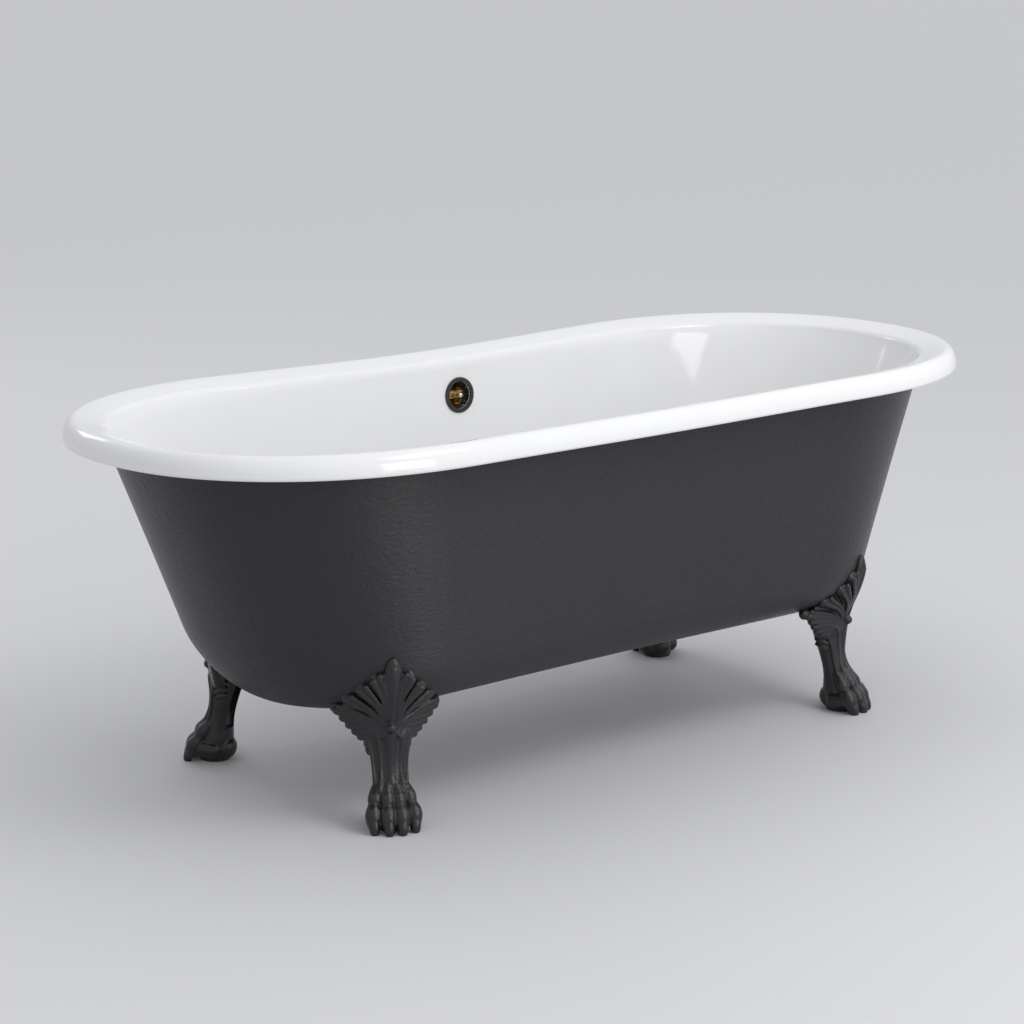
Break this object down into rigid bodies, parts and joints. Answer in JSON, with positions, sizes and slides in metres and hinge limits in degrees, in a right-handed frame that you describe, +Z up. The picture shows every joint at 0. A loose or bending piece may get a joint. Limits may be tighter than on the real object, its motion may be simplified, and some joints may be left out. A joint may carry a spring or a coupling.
{
  "type": "clawfoot bathtub",
  "caption": "Free-standing double-ended cast-iron bath with a white enamel lining and roll-top rim, a dark painted outside, cast claw feet, and an overflow and press-to-open waste",
  "frame": {"origin": "on the floor under the middle of the tub", "axes": "+X along the tub, -Y the front long side, +Y the side with the overflow, +Z up"},
  "size_m": [1.7, 0.7268, 0.614],
  "materials": {
    "tub_paint": "satin charcoal paint over fine-grained iron",
    "enamel": "glossy white vitreous enamel",
    "foot_iron": "semi-gloss black paint over cast iron",
    "steel": "zinc-plated steel",
    "chrome": "polished chrome plate",
    "pipe_chrome": "chromed brass tube",
    "brass": "cast and turned brass",
    "rubber": "moulded black rubber"
  },
  "bodies": {
    "tub": {"tub_casting": "tub_paint", "enamel_lining": "enamel", "claw_foot_front_left": "foot_iron", "foot_bolt_front_left": "steel", "foot_washer_front_left": "steel", "claw_foot_front_right": "foot_iron", "foot_bolt_front_right": "steel", "foot_washer_front_right": "steel", "claw_foot_back_left": "foot_iron", "foot_bolt_back_left": "steel", "foot_washer_back_left": "steel", "claw_foot_back_right": "foot_iron", "foot_bolt_back_right": "steel", "foot_washer_back_right": "steel", "overflow_faceplate": "chrome", "overflow_screw": "chrome", "overflow_front_gasket": "rubber", "overflow_rear_gasket": "rubber", "overflow_elbow": "brass", "overflow_pipe": "pipe_chrome", "overflow_upper_seal": "rubber", "overflow_upper_nut": "brass", "overflow_lower_seal": "rubber", "overflow_lower_nut": "brass", "waste_flange": "chrome", "waste_upper_gasket": "rubber", "waste_lower_gasket": "rubber", "waste_body": "brass", "stopper_cartridge": "brass"},
    "stopper": {"stopper_cap": "chrome", "stopper_stem": "brass", "stopper_seal": "rubber"}
  },
  "joints": [
    {"name": "stopper_slide", "type": "slide", "parent": "tub", "child": "stopper", "axis": [0, 0, 1], "range_m": [0, 0.009]}
  ]
}
